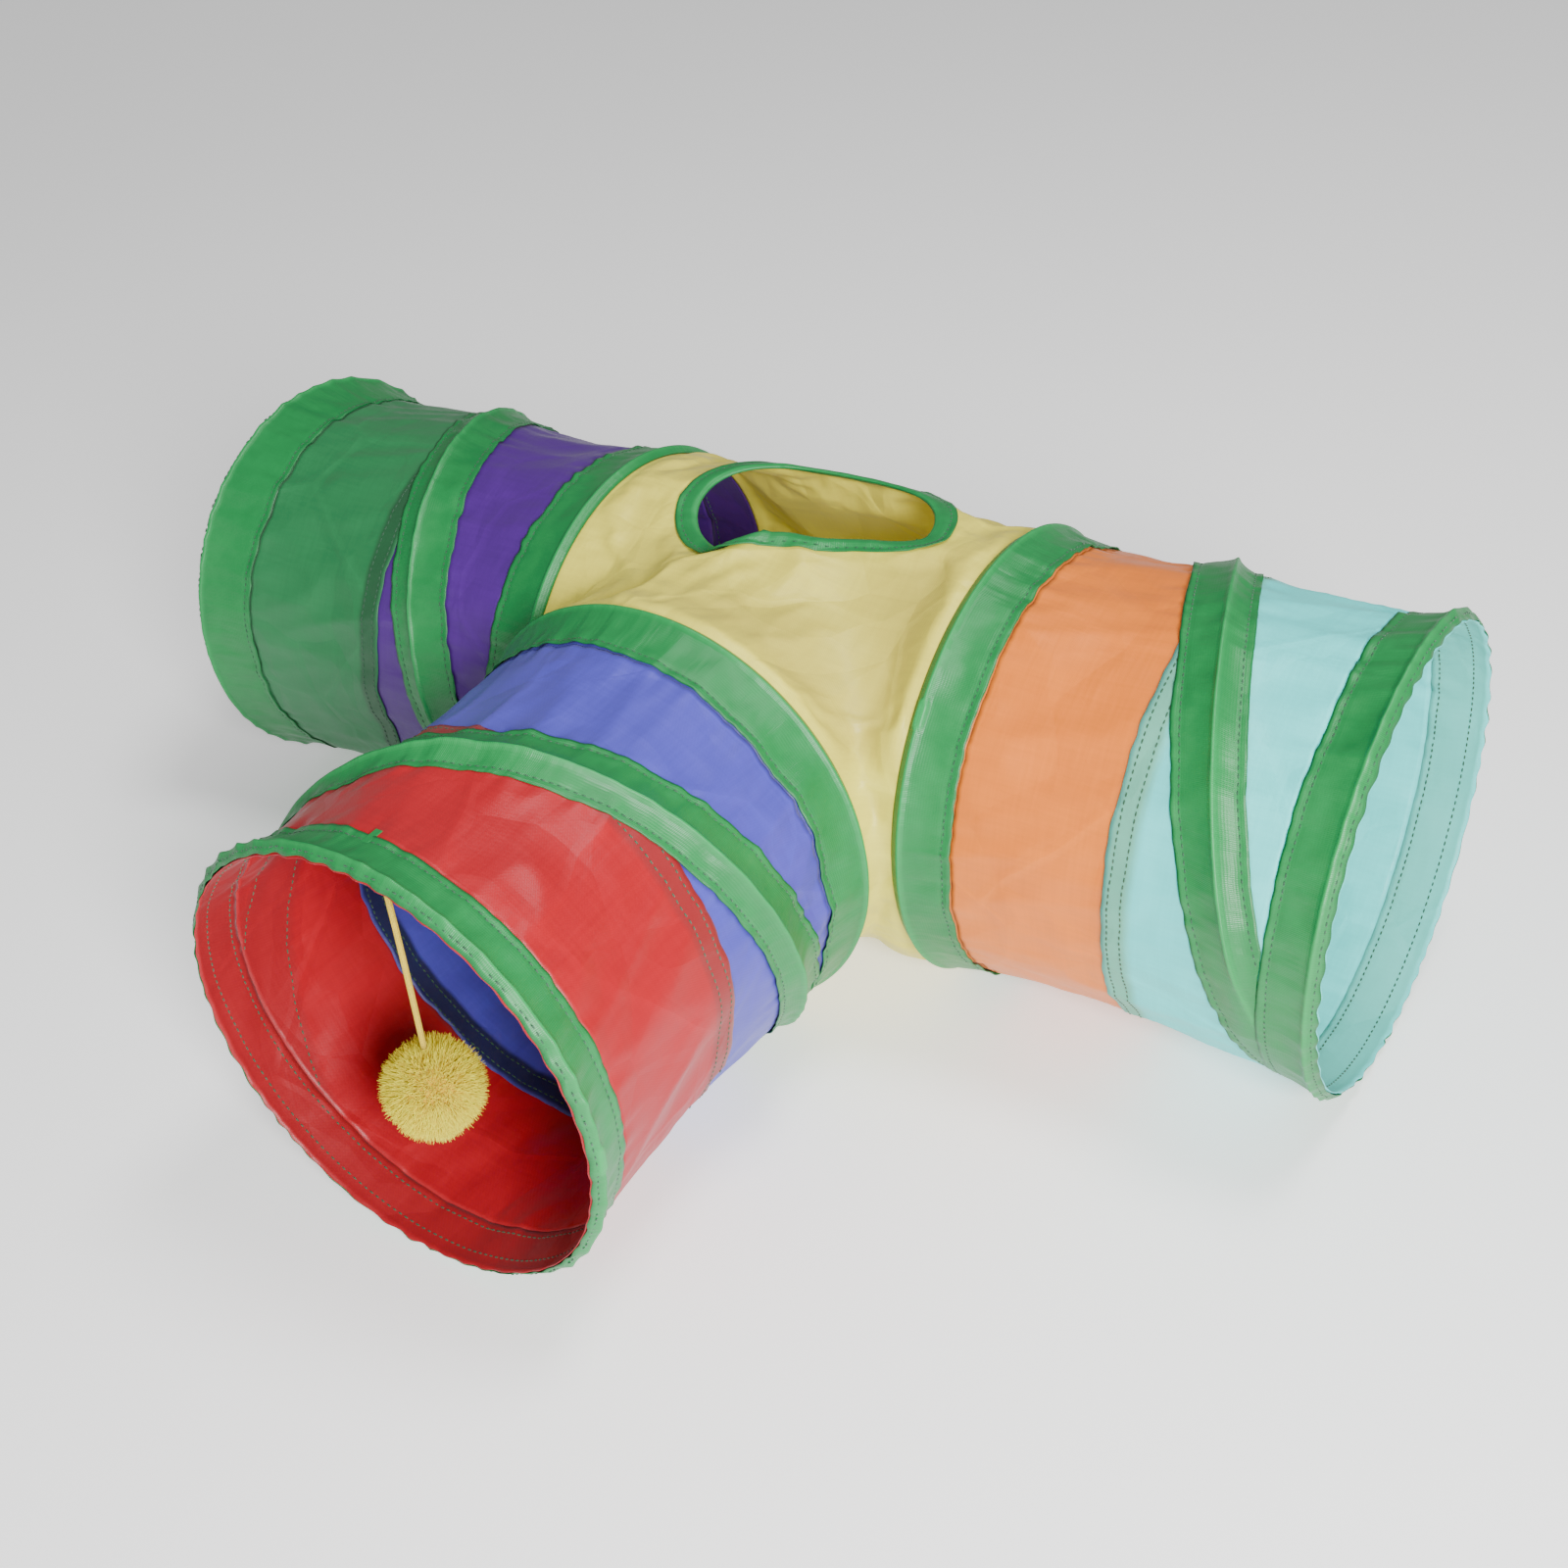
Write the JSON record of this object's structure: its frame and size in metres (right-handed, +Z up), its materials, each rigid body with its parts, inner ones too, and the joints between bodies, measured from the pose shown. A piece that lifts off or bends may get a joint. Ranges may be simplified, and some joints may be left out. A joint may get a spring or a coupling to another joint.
{
  "type": "agility tunnel",
  "caption": "Collapsible T-shaped pet tunnel of coloured cloth on spring-steel rings and coils, with a top peephole and a hanging pompom.",
  "frame": {"origin": "on the floor, under the middle of the whole outline", "axes": "+X along the main tube towards the right arm, -Y along the front arm, +Z up"},
  "size_m": [0.725, 0.486, 0.25],
  "materials": {
    "green_tape": "satin woven polyester tape",
    "yellow_cloth": "satin polyester taffeta",
    "purple_cloth": "satin polyester taffeta",
    "leaf_cloth": "satin polyester taffeta",
    "orange_cloth": "satin polyester taffeta",
    "aqua_cloth": "satin polyester taffeta",
    "blue_cloth": "satin polyester taffeta",
    "red_cloth": "satin polyester taffeta",
    "spring_steel": "bright drawn spring wire",
    "pompom_yarn": "fluffy cut yarn",
    "yellow_cord": "braided cord",
    "green_thread": "sewing thread"
  },
  "bodies": {
    "hub": {"hub_sleeve": "yellow_cloth", "peephole_binding": "green_tape", "left_hub_tape": "green_tape", "left_hub_ring_wire": "spring_steel", "left_hub_crimp": "spring_steel", "left_inner_panel": "purple_cloth", "right_hub_tape": "green_tape", "right_hub_ring_wire": "spring_steel", "right_hub_crimp": "spring_steel", "right_inner_panel": "orange_cloth", "front_hub_tape": "green_tape", "front_hub_ring_wire": "spring_steel", "front_hub_crimp": "spring_steel", "front_inner_panel": "blue_cloth"},
    "left_coil": {"left_coil_tape": "green_tape", "left_coil_wire": "spring_steel"},
    "left_mouth": {"left_mouth_tape": "green_tape", "left_mouth_ring_wire": "spring_steel", "left_mouth_crimp": "spring_steel", "left_outer_panel": "leaf_cloth"},
    "right_coil": {"right_coil_tape": "green_tape", "right_coil_wire": "spring_steel"},
    "right_mouth": {"right_mouth_tape": "green_tape", "right_mouth_ring_wire": "spring_steel", "right_mouth_crimp": "spring_steel", "right_outer_panel": "aqua_cloth"},
    "front_coil": {"front_coil_tape": "green_tape", "front_coil_wire": "spring_steel"},
    "front_mouth": {"front_mouth_tape": "green_tape", "front_mouth_ring_wire": "spring_steel", "front_mouth_crimp": "spring_steel", "front_outer_panel": "red_cloth", "cord_tack": "green_thread"},
    "cord_knot": {"cord_knot": "yellow_cord"},
    "pompom": {"pompom": "pompom_yarn", "pompom_cord": "yellow_cord"}
  },
  "joints": [
    {"name": "left_collapse", "type": "slide", "parent": "hub", "child": "left_mouth", "axis": [-1, 0, 0], "range_m": [-0.165, 0], "stiffness_N_per_m": 12, "springref_m": 0.02, "deforming": ["left_inner_panel", "left_outer_panel"]},
    {"name": "left_coil_follow", "type": "slide", "parent": "hub", "child": "left_coil", "axis": [-1, 0, 0], "range_m": [-0.0825, 0], "deforming": ["left_coil_tape", "left_coil_wire"]},
    {"name": "right_collapse", "type": "slide", "parent": "hub", "child": "right_mouth", "axis": [1, 0, 0], "range_m": [-0.133, 0], "stiffness_N_per_m": 12, "springref_m": 0.02, "deforming": ["right_inner_panel", "right_outer_panel"]},
    {"name": "right_coil_follow", "type": "slide", "parent": "hub", "child": "right_coil", "axis": [1, 0, 0], "range_m": [-0.0665, 0], "deforming": ["right_coil_tape", "right_coil_wire"]},
    {"name": "front_collapse", "type": "slide", "parent": "hub", "child": "front_mouth", "axis": [0, -1, 0], "range_m": [-0.1465, 0], "stiffness_N_per_m": 12, "springref_m": 0.02, "deforming": ["front_inner_panel", "front_outer_panel"]},
    {"name": "front_coil_follow", "type": "slide", "parent": "hub", "child": "front_coil", "axis": [0, -1, 0], "range_m": [-0.07325, 0], "deforming": ["front_coil_tape", "front_coil_wire"]},
    {"name": "pompom_swing_along", "type": "hinge", "parent": "front_mouth", "child": "cord_knot", "pos_m": [0.0095, -0.2165, 0.2402], "axis": [1, 0, 0], "range_deg": [-70, 50]},
    {"name": "pompom_swing_across", "type": "hinge", "parent": "cord_knot", "child": "pompom", "pos_m": [0.0095, -0.2165, 0.2402], "axis": [0, 1, 0], "range_deg": [-30, 30]}
  ],
  "couplings": [
    {"joint": "left_coil_follow", "follows": "left_collapse", "ratio": 0.5},
    {"joint": "right_coil_follow", "follows": "right_collapse", "ratio": 0.5},
    {"joint": "front_coil_follow", "follows": "front_collapse", "ratio": 0.5}
  ]
}
